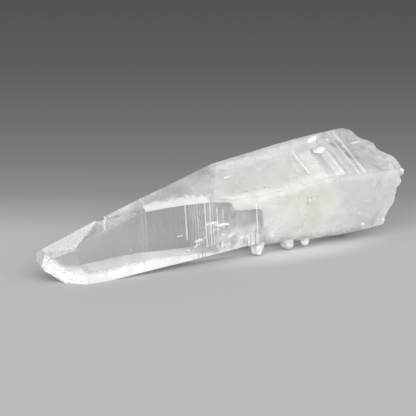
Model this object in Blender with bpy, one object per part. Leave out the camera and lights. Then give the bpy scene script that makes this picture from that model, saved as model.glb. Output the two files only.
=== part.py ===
"""A single tapered quartz crystal, lying on its side.

The crystal is one grown body: a six-sided prism, flattened front to back,
that narrows in growth steps from its broken root (+X) to a short faceted
point (-X), with three stubby crystals grown into its underside.
Metres, +Z up, standing on Z = 0.  Sizes below are in millimetres.
"""
import bpy
import bmesh
import math
from mathutils import Vector, Matrix, noise

MM = 0.001
NAME = "quartz_crystal"

# ---------------------------------------------------------------- the prism
# The c-axis runs along the length and dips towards the point.
DIP = 4.0                      # degrees, the point lower than the root
AXIS_HEIGHT = 16.0             # c-axis above the table at station 0
AXIS_SHIFT = (-3.71, -0.51)    # station 0 from the middle of the crystal's outline
STATION_MIN = -74.0            # the prism before its ends are cut
STATION_MAX = 80.0
RISER = 0.36                   # run of one growth step along the axis

# Side faces by the angle of their outward normal, turned up from the front.
FRONT, UPPER_FRONT, UPPER_BACK, BACK, LOWER_BACK, LOWER_FRONT = (
    0.0, 60.0, 120.0, 180.0, 240.0, 292.0)

# Growth terraces: (the station where the terrace ends, distance of the face
# from the c-axis).  Each terrace is flat, and the last one runs into the
# sloping part below.
FRONT_TERRACES = [(-46.0, 10.2), (-31.4, 10.9), (-15.3, 11.9), (-10.4, 12.4),
                  (-5.6, 12.9), (1.8, 13.2), (6.3, 13.5), (10.6, 13.8)]
UPPER_FRONT_TERRACES = [(-36.0, 11.7), (-22.0, 12.1), (-6.0, 11.8), (8.0, 11.6),
                        (16.0, 11.4), (25.0, 12.2), (34.0, 13.1), (40.5, 13.5),
                        (48.5, 13.1), (54.3, 12.6)]

# Sloping faces: (station, distance), straight between the stations given.
FRONT_SLOPE = [(10.6, 14.1), (50.0, 16.0), (80.0, 16.4)]
UPPER_FRONT_SLOPE = [(54.3, 12.3), (80.0, 10.0)]
UPPER_BACK_SLOPE = [(-74.0, -3.0), (-46.0, 2.3), (4.0, 13.7), (30.0, 15.5),
                    (80.0, 17.2)]
BACK_SLOPE = [(-74.0, 1.5), (-46.0, 4.6), (0.0, 12.0), (40.0, 16.5), (80.0, 18.0)]
LOWER_BACK_SLOPE = [(-74.0, 7.8), (-46.0, 9.8), (-29.0, 12.0), (8.0, 19.6),
                    (80.0, 24.8)]
LOWER_FRONT_SLOPE = [(-74.0, 15.9), (12.0, 15.9), (18.0, 16.8), (26.0, 17.7), (36.0, 18.9),
                     (46.0, 19.8), (56.0, 20.1), (64.0, 19.9), (80.0, 20.4)]

# ------------------------------------------------------------ the point
# Each point face: the direction it faces around the axis, how far it leans
# towards the point, and one place it passes through (station, forward, up).
POINT_FACES = [
    (58.0, 35.9, (-46.7, 10.2, 8.15)),      # large face above
    (-13.3, 42.1, (-55.6, 10.2, 0.5)),      # large face in front
    (-77.0, 45.0, (-64.1, 0.6, -6.6)),      # below
    (180.0, 50.0, (-64.0, -1.6, -3.0)),     # behind
    (240.0, 42.0, (-63.0, -1.5, -6.0)),     # below and behind
    (30.0, 79.0, (-62.9, 3.0, -1.2)),       # the worn tip
]

# ------------------------------------------------------------ the root
ROOT_STATION = 73.5            # furthest corner of the broken root
ROOT_UNDERCUT = 0.55           # how fast the break runs back below the ridge
ROOT_BACKSET = 13.0            # how far it runs back behind the front face
ROOT_LIMIT = 71.12             # flat end of the furthest corner, at axis height
# bumps and notches on the upper rim of the break:
# height, then place and reach forward, then place and reach up
ROOT_LOBES = [(1.3, 2.6, 1.7, 11.3, 3.0), (2.0, 11.0, 3.0, 6.3, 3.5), (-0.6, 6.2, 1.3, 9.2, 3.0)]
ROOT_GRID = 40

# ------------------------------------------------------------ small crystals
# foot (station, forward, height above table), lean direction, length, radius
SMALL_CRYSTALS = [
    ((14.0, 10.2, 7.4), (-0.18, -0.08, -0.97), 7.0, 3.0),
    ((24.2, 11.2, 6.5), (0.22, -0.05, -0.96), 5.5, 3.1),
    ((31.9, 11.6, 6.2), (0.0, -0.05, -0.99), 4.9, 2.0),
]


def slope(station, knots):
    for (s0, d0), (s1, d1) in zip(knots, knots[1:]):
        if station <= s1:
            t = (station - s0) / (s1 - s0)
            return d0 + t * (d1 - d0)
    return knots[-1][1]


def terrace(station, steps, beyond):
    for end, dist in steps:
        if station < end:
            return dist
    return slope(station, beyond)


def face_distances(station):
    """(normal angle, distance) of the six side faces at one station."""
    front = terrace(station, FRONT_TERRACES, FRONT_SLOPE)
    upper_front = terrace(station, UPPER_FRONT_TERRACES, UPPER_FRONT_SLOPE)
    upper_back = slope(station, UPPER_BACK_SLOPE)
    # the upper front face pinches out where its two neighbours meet
    upper_front = min(upper_front, upper_back + front - 0.3)
    return [
        (FRONT, front),
        (UPPER_FRONT, upper_front),
        (UPPER_BACK, upper_back),
        (BACK, slope(station, BACK_SLOPE)),
        (LOWER_BACK, slope(station, LOWER_BACK_SLOPE)),
        (LOWER_FRONT, slope(station, LOWER_FRONT_SLOPE)),
    ]


def section(station):
    """Corners (forward, up) of the cross-section, one per pair of faces."""
    lines = face_distances(station)
    corners = []
    for i, (ang0, d0) in enumerate(lines):
        ang1, d1 = lines[(i + 1) % len(lines)]
        a0, b0 = math.cos(math.radians(ang0)), math.sin(math.radians(ang0))
        a1, b1 = math.cos(math.radians(ang1)), math.sin(math.radians(ang1))
        det = a0 * b1 - a1 * b0
        corners.append(((d0 * b1 - d1 * b0) / det, (a0 * d1 - a1 * d0) / det))
    return corners


def stations():
    cuts = {STATION_MIN, STATION_MAX}
    for steps in (FRONT_TERRACES, UPPER_FRONT_TERRACES):
        for end, _ in steps:
            cuts.add(end - RISER / 2)
            cuts.add(end + RISER / 2)
    for knots in (FRONT_SLOPE, UPPER_FRONT_SLOPE, UPPER_BACK_SLOPE, BACK_SLOPE,
                  LOWER_BACK_SLOPE, LOWER_FRONT_SLOPE):
        for s, _ in knots:
            if min(abs(s - c) for c in cuts) > RISER:
                cuts.add(s)
    return sorted(cuts)


def axis_frame():
    """From (station, forward, up) about the c-axis to the world."""
    swap = Matrix(((1, 0, 0, 0), (0, -1, 0, 0), (0, 0, 1, 0), (0, 0, 0, 1)))
    dip = Matrix.Rotation(-math.radians(DIP), 4, 'Y')
    shift = Vector((AXIS_SHIFT[0], AXIS_SHIFT[1], AXIS_HEIGHT)) * MM
    return Matrix.Translation(shift) @ dip @ swap


def to_world(station, forward, up):
    return axis_frame() @ Vector((station * MM, forward * MM, up * MM))


def prism():
    """The stepped prism: cross-sections bridged one to the next."""
    bm = bmesh.new()
    frame = axis_frame()
    rings = []
    for s in stations():
        ring = [bm.verts.new(frame @ Vector((s * MM, f * MM, u * MM))) for f, u in section(s)]
        rings.append([bm.edges.new((ring[i], ring[(i + 1) % len(ring)])) for i in range(len(ring))])
    for low, high in zip(rings, rings[1:]):
        bmesh.ops.bridge_loops(bm, edges=low + high)
    bmesh.ops.holes_fill(bm, edges=bm.edges[:], sides=0)
    bmesh.ops.recalc_face_normals(bm, faces=bm.faces[:])
    return bm


def cut(bm, point, normal):
    """Slice away everything on the normal's side and close the slice."""
    geom = bm.verts[:] + bm.edges[:] + bm.faces[:]
    res = bmesh.ops.bisect_plane(bm, geom=geom, plane_co=point, plane_no=normal,
                                 clear_outer=True, dist=1e-7)
    rim = [e for e in res["geom_cut"] if isinstance(e, bmesh.types.BMEdge)]
    if rim:
        bmesh.ops.holes_fill(bm, edges=rim, sides=0)


def make_point(bm):
    """Cut the faces of the point."""
    frame = axis_frame()
    for angle, lean, place in POINT_FACES:
        a, t = math.radians(angle), math.radians(lean)
        normal = Vector((-math.sin(t), math.cos(t) * math.cos(a), math.cos(t) * math.sin(a)))
        cut(bm, frame @ (Vector(place) * MM), (frame.to_3x3() @ normal).normalized())


def root_surface(forward, up):
    """Station of the broken root at one place of the cross-section."""
    behind = max(0.0, 17.0 - forward)
    s = ROOT_STATION
    s -= ROOT_BACKSET * (1.0 - math.exp(-behind / 13.0))
    s -= ROOT_UNDERCUT * max(0.0, 5.0 - up)
    s -= 0.12 * max(0.0, up - 5.0)
    s += 2.6 * math.exp(-((forward - 7.0) / 5.0) ** 2 - ((up - 10.5) / 4.5) ** 2)
    # conchoidal ripples
    s += 0.75 * noise.noise(Vector((forward / 9.0, up / 8.0, 3.1)))
    s += 0.35 * math.sin(math.hypot(forward - 20.0, up - 8.0) * 0.85)
    s += 0.55 * noise.noise(Vector((forward / 3.4, up / 3.2, 8.7)))
    for height, at_f, reach_f, at_u, reach_u in ROOT_LOBES:
        s += height * math.exp(-((forward - at_f) / reach_f) ** 2 - ((up - at_u) / reach_u) ** 2)
    return min(s, ROOT_LIMIT + 0.07 * up)


def root_cutter(collection):
    """A block whose near side is the fracture surface."""
    half = 32.0
    bm = bmesh.new()
    bmesh.ops.create_grid(bm, x_segments=ROOT_GRID, y_segments=ROOT_GRID, size=half)
    for v in bm.verts:
        forward, up = v.co.x, v.co.y
        v.co = Vector((root_surface(forward, up), forward, up))
    top = bmesh.ops.extrude_face_region(bm, geom=bm.faces[:])
    for v in [g for g in top["geom"] if isinstance(g, bmesh.types.BMVert)]:
        v.co.x = STATION_MAX + 25.0
    bmesh.ops.transform(bm, matrix=axis_frame() @ Matrix.Scale(MM, 4), verts=bm.verts[:])
    bmesh.ops.recalc_face_normals(bm, faces=bm.faces[:])
    mesh = bpy.data.meshes.new("root_cutter")
    bm.to_mesh(mesh)
    bm.free()
    cutter = bpy.data.objects.new("root_cutter", mesh)
    cutter.hide_render = True
    cutter.display_type = 'WIRE'
    collection.objects.link(cutter)
    return cutter


def small_crystal(index, foot, lean, length, radius, collection):
    """A six-sided stub with a blunt tapered end, standing out of the underside."""
    bm = bmesh.new()
    body = length * 0.72
    bmesh.ops.create_cone(bm, cap_ends=True, segments=6, radius1=radius * 1.12,
                          radius2=radius * 0.80, depth=body,
                          matrix=Matrix.Translation((0, 0, body / 2)))
    top = max(bm.faces, key=lambda f: f.calc_center_median().z)
    ext = bmesh.ops.extrude_face_region(bm, geom=[top])
    tip = [g for g in ext["geom"] if isinstance(g, bmesh.types.BMVert)]
    for v in tip:
        v.co.z = length
        v.co.x = v.co.x * 0.58 + radius * 0.10
        v.co.y = v.co.y * 0.66
    if top.is_valid:
        bmesh.ops.delete(bm, geom=[top], context='FACES_ONLY')
    bmesh.ops.recalc_face_normals(bm, faces=bm.faces[:])
    station, forward, height = foot
    direction = Vector((lean[0], lean[1], lean[2])).normalized()
    turn = direction.to_track_quat('Z', 'Y').to_matrix().to_4x4()
    foot_at = Vector((station + AXIS_SHIFT[0], AXIS_SHIFT[1] - forward, height)) * MM
    place = Matrix.Translation(foot_at) @ turn @ Matrix.Rotation(0.5 * index, 4, 'Z')
    bmesh.ops.transform(bm, matrix=place @ Matrix.Scale(MM, 4), verts=bm.verts[:])
    mesh = bpy.data.meshes.new("stub_%d" % index)
    bm.to_mesh(mesh)
    bm.free()
    stub = bpy.data.objects.new("stub_%d" % index, mesh)
    stub.hide_render = True
    stub.display_type = 'WIRE'
    collection.objects.link(stub)
    return stub


def add_boolean(obj, other, operation):
    mod = obj.modifiers.new(other.name, 'BOOLEAN')
    mod.operation = operation
    mod.solver = 'EXACT'
    mod.object = other


def quartz_material():
    mat = bpy.data.materials.new("quartz")
    mat.use_nodes = True
    shader = mat.node_tree.nodes["Principled BSDF"]
    shader.inputs["Base Color"].default_value = (0.86, 0.87, 0.85, 1.0)
    shader.inputs["Roughness"].default_value = 0.08
    shader.inputs["Metallic"].default_value = 0.0
    shader.inputs["IOR"].default_value = 1.544
    shader.inputs["Transmission Weight"].default_value = 0.85
    return mat


def main():
    for obj in list(bpy.data.objects):
        bpy.data.objects.remove(obj, do_unlink=True)

    parts = bpy.data.collections.new("quartz_crystal_parts")
    cutters = bpy.data.collections.new("construction")
    bpy.context.scene.collection.children.link(parts)
    bpy.context.scene.collection.children.link(cutters)

    bm = prism()
    make_point(bm)
    # the underside lies flat on the table
    cut(bm, Vector((0, 0, 0)), Vector((0, 0, -1)))
    bmesh.ops.recalc_face_normals(bm, faces=bm.faces[:])
    mesh = bpy.data.meshes.new(NAME)
    bm.to_mesh(mesh)
    bm.free()
    crystal = bpy.data.objects.new(NAME, mesh)
    crystal.data.materials.append(quartz_material())
    parts.objects.link(crystal)

    add_boolean(crystal, root_cutter(cutters), 'DIFFERENCE')
    for i, (foot, lean, length, radius) in enumerate(SMALL_CRYSTALS, start=1):
        add_boolean(crystal, small_crystal(i, foot, lean, length, radius, cutters), 'UNION')


main()
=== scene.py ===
"""Looks of the quartz crystal: surface relief, broken root, sealed clouds and cracks, light and camera."""
import math
import random

import bmesh
import bpy
import numpy as np
from mathutils import Matrix, Vector, noise

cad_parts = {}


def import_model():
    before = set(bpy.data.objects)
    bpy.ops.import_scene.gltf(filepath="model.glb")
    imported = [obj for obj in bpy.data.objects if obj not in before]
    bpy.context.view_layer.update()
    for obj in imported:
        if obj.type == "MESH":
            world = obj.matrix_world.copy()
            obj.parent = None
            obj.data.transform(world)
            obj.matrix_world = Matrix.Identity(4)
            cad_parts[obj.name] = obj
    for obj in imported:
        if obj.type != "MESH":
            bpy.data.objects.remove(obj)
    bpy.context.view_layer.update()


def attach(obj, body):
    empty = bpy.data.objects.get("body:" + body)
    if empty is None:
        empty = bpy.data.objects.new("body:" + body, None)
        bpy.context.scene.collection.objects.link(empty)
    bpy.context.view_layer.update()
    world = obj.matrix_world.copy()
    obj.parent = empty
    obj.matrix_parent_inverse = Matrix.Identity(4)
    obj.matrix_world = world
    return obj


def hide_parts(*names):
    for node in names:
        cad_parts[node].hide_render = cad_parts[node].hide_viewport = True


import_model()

MM = 0.001

# ------------------------------------------------------------------ the frame of the crystal
DIP = 4.0
AXIS_HEIGHT = 16.0
AXIS_SHIFT = (-3.71, -0.51)
STATION_MIN, STATION_MAX = -74.0, 80.0
ANGLES = [0.0, 60.0, 120.0, 180.0, 240.0, 292.0]      # front, upper front, upper back, back, lower back, lower front

_shift = Vector((AXIS_SHIFT[0], AXIS_SHIFT[1], AXIS_HEIGHT)) * MM
FRAME = Matrix.Translation(_shift) @ Matrix.Rotation(-math.radians(DIP), 4, 'Y') @ Matrix(
    ((1, 0, 0, 0), (0, -1, 0, 0), (0, 0, 1, 0), (0, 0, 0, 1)))
FRAME_NP = np.array(FRAME)
FRAME_INV = FRAME.inverted()


def world(s, f, u):
    """World place of (station, forward, up) in millimetres about the c-axis."""
    return FRAME @ Vector((s * MM, f * MM, u * MM))


def world_np(pts):
    """The same for an array of points."""
    pts = np.asarray(pts, float) * MM
    return pts @ FRAME_NP[:3, :3].T + FRAME_NP[:3, 3]


def slope(s, knots):
    return float(np.interp(s, [k[0] for k in knots], [k[1] for k in knots]))


def steps(s, start, rises):
    """A stepped profile: each rise is (station, height, run)."""
    d = start
    for at, rise, run in rises:
        if s >= at + run / 2:
            d += rise
        elif s > at - run / 2:
            d += rise * (s - at + run / 2) / run
    return d


FRONT_SLOPE = [(-74.0, 10.2), (-46.0, 10.25), (-31.4, 10.85), (-15.4, 11.75), (-4.0, 12.9), (6.3, 13.55),
               (10.7, 14.0), (50.0, 15.9), (80.0, 16.3)]
UPPER_FRONT_SLOPE = [(-74.0, 11.7), (-22.0, 11.95), (-6.0, 11.75), (12.0, 11.5), (17.0, 11.7), (25.0, 12.2),
                     (34.0, 13.0), (40.5, 13.4), (48.5, 12.95), (54.3, 12.3), (80.0, 9.9)]
UPPER_BACK_SLOPE = [(-74.0, -3.0), (-46.0, 2.3), (4.0, 13.6), (30.0, 15.4), (80.0, 17.1)]
BACK_SLOPE = [(-74.0, 1.5), (-46.0, 4.6), (0.0, 12.0), (40.0, 16.4), (80.0, 17.9)]
LOWER_BACK_SLOPE = [(-74.0, 7.8), (-46.0, 9.8), (-29.0, 12.0), (8.0, 19.6), (80.0, 24.8)]
LOWER_FRONT_SLOPE = [(-74.0, 15.9), (12.0, 15.9), (18.0, 16.8), (26.0, 17.7), (36.0, 18.9), (46.0, 19.8), (56.0, 20.1),
                     (64.0, 19.9), (80.0, 20.4)]

# Growth lines that stand out: (station, width, frost, from, to), from and to
# as fractions of the face's height.
FRONT_LINES = [
    (-44.6, 0.8, 0.80, 0.80, 1.0), (-46.6, 0.6, 0.35, 0.8, 1.0), (-43.2, 0.5, 0.35, 0.82, 1.0),
    (-37.4, 0.3, 0.10, 0.5, 1.0), (-34.6, 0.3, 0.10, 0.4, 1.0),
    (-32.3, 0.3, 0.16, 0.35, 1.0), (-31.3, 0.35, 0.30, 0.30, 1.0), (-29.9, 0.4, 0.26, 0.30, 1.0),
    (-28.4, 0.3, 0.14, 0.35, 1.0), (-26.9, 0.3, 0.16, 0.4, 1.0), (-25.4, 0.3, 0.10, 0.4, 1.0),
    (-24.2, 0.3, 0.18, 0.4, 1.0), (-22.8, 0.3, 0.10, 0.4, 1.0), (-21.4, 0.35, 0.20, 0.4, 1.0),
    (-20.3, 0.3, 0.14, 0.35, 1.0), (-18.9, 0.35, 0.20, 0.3, 1.0), (-17.6, 0.3, 0.22, 0.3, 1.0), (-16.4, 0.3, 0.20, 0.3, 1.0),
    (-15.4, 0.50, 0.75, 0.34, 1.0),
    (-14.1, 0.45, 0.34, 0.18, 1.0), (-13.1, 0.40, 0.42, 0.18, 1.0), (-12.1, 0.45, 0.50, 0.16, 1.0),
    (-11.2, 0.40, 0.50, 0.16, 1.0), (-10.3, 0.45, 0.60, 0.16, 1.0), (-9.4, 0.45, 0.55, 0.14, 1.0),
    (-8.4, 0.55, 0.75, 0.14, 1.0), (-7.5, 0.40, 0.45, 0.14, 1.0), (-6.6, 0.45, 0.80, 0.14, 1.0),
    (-5.7, 0.35, 0.60, 0.14, 1.0), (-5.0, 0.3, 0.40, 0.3, 1.0),
    (-4.1, 0.40, 0.80, 0.36, 0.94), (-2.9, 0.3, 0.35, 0.4, 0.9), (-1.9, 0.35, 0.65, 0.40, 0.88), (0.5, 0.3, 0.40, 0.4, 0.8),
    (2.9, 0.3, 0.30, 0.3, 0.8), (5.6, 0.4, 0.55, 0.42, 0.74), (6.4, 0.4, 0.50, 0.42, 0.74),
    (8.2, 0.3, 0.15, 0.3, 0.8), (10.7, 0.45, 0.75, 0.08, 0.92), (11.5, 0.3, 0.25, 0.2, 0.8), (12.9, 0.25, 0.35, 0.2, 0.7),
]
UPPER_FRONT_LINES = [
    (-46.2, 1.0, 0.35, 0.0, 1.0), (-43.9, 0.8, 0.75, 0.0, 1.0), (-42.6, 0.8, 0.3, 0.0, 1.0),
    (-31.0, 0.5, 0.45, 0.0, 1.0), (-29.9, 0.4, 0.35, 0.0, 1.0), (-28.7, 0.5, 0.6, 0.0, 1.0), (-27.4, 0.4, 0.3, 0.0, 1.0),
    (-10.9, 1.0, 0.30, 0.0, 1.0), (-9.0, 0.9, 0.36, 0.0, 1.0), (-7.2, 0.8, 0.30, 0.0, 1.0), (-5.6, 0.8, 0.36, 0.0, 1.0),
    (28.6, 0.6, 0.20, 0.0, 0.8), (31.2, 0.6, 0.22, 0.0, 0.9), (33.9, 0.9, 0.55, 0.15, 0.78), (37.0, 5.0, 0.34, 0.0, 0.70),
    (39.4, 0.6, 0.48, 0.0, 0.70), (44.6, 3.6, 0.38, 0.0, 0.72), (46.2, 0.8, 0.55, 0.0, 0.66), (48.7, 0.6, 0.40, 0.0, 0.60),
    (52.2, 1.1, 0.42, 0.0, 1.0), (55.0, 1.2, 0.50, 0.0, 1.0),
]


def fine_steps(seed, start, end, gap, height):
    """Fine growth lines: small risers and falls that cancel over a few lines."""
    rng = random.Random(seed)
    out, s, level = [], start, 0.0
    while s < end:
        rise = rng.uniform(-1, 1) * height
        if abs(level + rise) > 1.5 * height:
            rise = -rise
        level += rise
        out.append((s, rise, rng.uniform(0.14, 0.24)))
        s += gap * rng.uniform(0.5, 1.7)
    return out


def front_edges():
    """Stations where the front face climbs: close together, each a very low riser."""
    rng = random.Random(3)
    out, s = [], -46.0
    while s < 12.0:
        out.append(s)
        s += rng.uniform(0.55, 1.35)
    for line in FRONT_LINES:
        if line[2] > 0.5:
            out = [e for e in out if abs(e - line[0]) > 0.35] + [line[0]]
    return sorted(out)


FRONT_EDGES = front_edges()
BACK_FINE = fine_steps(11, -60, 72, 2.6, 0.02)
UPPER_BACK_FINE = fine_steps(12, -62, 70, 2.0, 0.02)
LOWER_BACK_FINE = fine_steps(13, -62, 70, 3.2, 0.012)
LOWER_FRONT_FINE = fine_steps(14, -62, 70, 2.4, 0.014)
UPPER_FRONT_FINE = fine_steps(15, -45, 66, 1.7, 0.022)


FRONT_LEVELS = [slope(0.5 * (a + b), FRONT_SLOPE) for a, b in zip(FRONT_EDGES, FRONT_EDGES[1:])]


def front_distance(s, run=0.16):
    """The front face climbs to its slope in low risers, flat in between."""
    if s <= FRONT_EDGES[0] or s >= FRONT_EDGES[-1] + run:
        return slope(s, FRONT_SLOPE)
    k = max(0, int(np.searchsorted(FRONT_EDGES, s, side='right')) - 1)
    before = FRONT_LEVELS[k - 1] if k > 0 else slope(FRONT_EDGES[0], FRONT_SLOPE)
    after = FRONT_LEVELS[k] if k < len(FRONT_LEVELS) else slope(FRONT_EDGES[-1] + run, FRONT_SLOPE)
    x = min(1.0, (s - FRONT_EDGES[k]) / run)
    return before + (after - before) * x


def smooth_distances(s):
    front = slope(s, FRONT_SLOPE)
    upper_back = slope(s, UPPER_BACK_SLOPE)
    return [front, min(slope(s, UPPER_FRONT_SLOPE), upper_back + front - 0.3), upper_back,
            slope(s, BACK_SLOPE), slope(s, LOWER_BACK_SLOPE), slope(s, LOWER_FRONT_SLOPE)]


def distances(s):
    """Distance of the six side faces from the c-axis at a station, in mm."""
    d = smooth_distances(s)
    d[0] = front_distance(s)
    d[1] += steps(s, 0.0, UPPER_FRONT_FINE)
    d[2] += steps(s, 0.0, UPPER_BACK_FINE)
    d[3] += steps(s, 0.0, BACK_FINE)
    d[4] += steps(s, 0.0, LOWER_BACK_FINE)
    d[5] += steps(s, 0.0, LOWER_FRONT_FINE)
    return d


def corners(dist):
    """Corners of a cross-section from its face distances: one after each face."""
    out = []
    for i in range(6):
        a0, a1 = math.radians(ANGLES[i]), math.radians(ANGLES[(i + 1) % 6])
        c0, s0, c1, s1 = math.cos(a0), math.sin(a0), math.cos(a1), math.sin(a1)
        det = c0 * s1 - c1 * s0
        out.append(((dist[i] * s1 - dist[(i + 1) % 6] * s0) / det,
                    (c0 * dist[(i + 1) % 6] - c1 * dist[i]) / det))
    return out


def bar(s, t, line):
    """0..1 inside a growth line, with soft ends."""
    at, width, _, lo, hi = line
    if abs(s - at) > width / 2 or not lo <= t <= hi:
        return 0.0
    across = min(1.0, (width / 2 - abs(s - at)) / (0.28 * width) + 0.35)
    return across * min(1.0, (t - lo) / 0.06 + 0.1 if lo > 0 else 1.0, (hi - t) / 0.06 + 0.1 if hi < 1 else 1.0)


def relief(face, s, t, f, u):
    """Slight natural unevenness of a face, outwards in mm, away from its ridges."""
    edge = min(t, 1.0 - t)
    w = min(1.0, edge / 0.06)
    w = w * w * (3 - 2 * w)
    d = 0.02 * noise.noise(Vector((s / 16.0, f / 8.0 + 7 * face, u / 8.0)))
    if face == 1 and s > 20:
        for line in UPPER_FRONT_LINES[-10:]:
            d += 0.03 * line[2] * math.exp(-((s - line[0]) / (0.5 * line[1])) ** 4)
    return d * w


COLUMNS = [24, 20, 8, 10, 6, 8]


def station_list():
    cuts = {STATION_MIN, STATION_MAX}
    for e in FRONT_EDGES:
        cuts.update((e, e + 0.16))
    for table in (UPPER_FRONT_FINE, BACK_FINE, UPPER_BACK_FINE, LOWER_BACK_FINE, LOWER_FRONT_FINE):
        for at, _, run in table:
            cuts.update((at - run / 2, at + run / 2))
    for at, width, frost, _, _ in FRONT_LINES + UPPER_FRONT_LINES:
        cuts.update((at - width / 2, at + width / 2))
    for knots in (FRONT_SLOPE, UPPER_FRONT_SLOPE, UPPER_BACK_SLOPE, BACK_SLOPE, LOWER_BACK_SLOPE, LOWER_FRONT_SLOPE):
        cuts.update(k[0] for k in knots)
    ordered, out = sorted(cuts), []
    for s in ordered:
        if out and s - out[-1] < 0.07:
            continue
        gap = 0.32 if -34 < s < 14 or 32 < s < 56 else 1.2
        while out and s - out[-1] > gap * 1.4:
            out.append(out[-1] + gap)
        out.append(s)
    return out


def crystal_blank():
    """The stepped prism before its ends are cut, as a closed mesh."""
    ring_n = sum(COLUMNS)
    co, rings = [], station_list()
    for s in rings:
        cs = corners(distances(s))
        for k in range(6):
            (f0, u0), (f1, u1) = cs[k - 1], cs[k]
            a = math.radians(ANGLES[k])
            nf, nu = math.cos(a), math.sin(a)
            for j in range(COLUMNS[k]):
                t = j / COLUMNS[k]
                f, u = f0 + (f1 - f0) * t, u0 + (u1 - u0) * t
                r = relief(k, s, t, f, u) if j else 0.0
                co.append((s, f + nf * r, u + nu * r))
    faces = []
    for i in range(len(rings) - 1):
        a, b = i * ring_n, (i + 1) * ring_n
        for j in range(ring_n):
            k = (j + 1) % ring_n
            faces.append((a + j, a + k, b + k, b + j))
    last = (len(rings) - 1) * ring_n
    faces.append(tuple(range(ring_n - 1, -1, -1)))
    faces.append(tuple(range(last, last + ring_n)))
    mesh = bpy.data.meshes.new("quartz_body")
    mesh.from_pydata([tuple(p) for p in world_np(co)], [], faces)
    mesh.update()
    return mesh


# ------------------------------------------------------------------ cuts
POINT_FACES = [
    (58.0, 35.9, (-46.7, 10.2, 8.15)),
    (-13.3, 42.1, (-55.6, 10.2, 0.5)),
    (-77.0, 45.0, (-64.1, 0.6, -6.6)),
    (180.0, 50.0, (-64.0, -1.6, -3.0)),
    (240.0, 42.0, (-63.0, -1.5, -6.0)),
    (30.0, 79.0, (-62.9, 3.0, -1.2)),
]


# the frosted strip on the point's front face: its lower edge runs between the first two places
POINT_STRIP = [(-56.31, 9.21, -0.90), (-62.64, 2.54, -4.25)]
# the worn lower edge of that face
WORN_EDGE = [(-63.40, 1.40, -6.30), (-57.10, 5.70, -12.70)]


def point_normal(direction, lean):
    """World direction of a point face: its direction about the axis, and its lean toward the point."""
    a, t = math.radians(direction), math.radians(lean)
    return (FRAME.to_3x3() @ Vector((-math.sin(t), math.cos(t) * math.cos(a), math.cos(t) * math.sin(a)))).normalized()


def cut(bm, point, normal, material=0):
    geom = bm.verts[:] + bm.edges[:] + bm.faces[:]
    res = bmesh.ops.bisect_plane(bm, geom=geom, plane_co=point, plane_no=normal, clear_outer=True, dist=1e-7)
    rim = [e for e in res["geom_cut"] if isinstance(e, bmesh.types.BMEdge)]
    if rim:
        new = bmesh.ops.holes_fill(bm, edges=rim, sides=0)["faces"]
        for f in new:
            f.material_index = material


def root_surface(f, u):
    behind = max(0.0, 17.0 - f)
    s = 73.5
    s -= 13.0 * (1.0 - math.exp(-behind / 13.0))
    s -= 0.55 * max(0.0, 5.0 - u)
    s -= 0.12 * max(0.0, u - 5.0)
    s += 2.6 * math.exp(-((f - 7.0) / 5.0) ** 2 - ((u - 10.5) / 4.5) ** 2)
    s += 0.75 * noise.noise(Vector((f / 9.0, u / 8.0, 3.1)))
    s += 0.35 * math.sin(math.hypot(f - 20.0, u - 8.0) * 0.85)
    s += 0.55 * noise.noise(Vector((f / 3.4, u / 3.2, 8.7)))
    # two lobes on the upper rim, with a notch between them
    s += 1.3 * math.exp(-((f - 2.6) / 1.7) ** 2 - ((u - 11.3) / 3.0) ** 2)
    s += 2.0 * math.exp(-((f - 11.0) / 3.0) ** 2 - ((u - 6.3) / 3.5) ** 2)
    s -= 0.6 * math.exp(-((f - 6.2) / 1.3) ** 2 - ((u - 9.2) / 3.0) ** 2)
    return s


def root_fine(f, u):
    """Broken quartz: shell-shaped ripples and small sharp flakes."""
    cell = noise.voronoi(Vector((f / 3.1, u / 2.6, 1.7)))[0]
    s = 0.55 * (cell[1] - cell[0])
    cell = noise.voronoi(Vector((f / 1.15, u / 1.05, 4.2)))[0]
    s += 0.22 * (cell[1] - cell[0])
    s += 0.10 * noise.noise(Vector((f / 0.7, u / 0.7, 0.3)))
    r = math.hypot(f - 17.0, u + 2.0)
    s += 0.09 * math.sin(r * 3.6 + 2.0 * noise.noise(Vector((f / 5, u / 5, 2))))
    return s


def mesh_object(name, mesh):
    ob = bpy.data.objects.new(name, mesh)
    bpy.context.scene.collection.objects.link(ob)
    return ob


ROOT_LIMIT = 71.0


def root_cutter(n=127, half=24.0):
    bm = bmesh.new()
    bmesh.ops.create_grid(bm, x_segments=n, y_segments=n, size=half)
    for v in bm.verts:
        f, u = v.co.x, v.co.y
        s = root_surface(f, u) - root_fine(f, u) + 0.35
        v.co = Vector((min(s, ROOT_LIMIT + 0.07 * u), f, u))
    top = bmesh.ops.extrude_face_region(bm, geom=bm.faces[:])
    for v in [g for g in top["geom"] if isinstance(g, bmesh.types.BMVert)]:
        v.co.x = STATION_MAX + 25.0
    bmesh.ops.transform(bm, matrix=FRAME @ Matrix.Scale(MM, 4), verts=bm.verts[:])
    bmesh.ops.triangulate(bm, faces=bm.faces[:])
    bmesh.ops.recalc_face_normals(bm, faces=bm.faces[:])
    for fc in bm.faces:
        fc.material_index = 1
    mesh = bpy.data.meshes.new("cut_root")
    bm.to_mesh(mesh)
    bm.free()
    return mesh_object("cut_root", mesh)


def lump(bm, centre, radius, squash, seed, material, level=2, rough=0.18):
    """An irregular blunt cutter that leaves a shell-shaped chip."""
    rng = random.Random(seed)
    made = bmesh.ops.create_icosphere(bm, subdivisions=level, radius=1.0)["verts"]
    turn = Matrix.Rotation(rng.uniform(0, 6.28), 3, 'X') @ Matrix.Rotation(rng.uniform(0, 6.28), 3, 'Z')
    for v in made:
        d = v.co.normalized()
        r = radius * (1 + rough * noise.noise(d * 2.3 + Vector((seed * 1.7, 0, 0))))
        q = turn @ Vector((d.x * squash, d.y, d.z))
        v.co = centre + q * (r * MM)
    for fc in {fc for v in made for fc in v.link_faces}:
        fc.material_index = material


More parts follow.
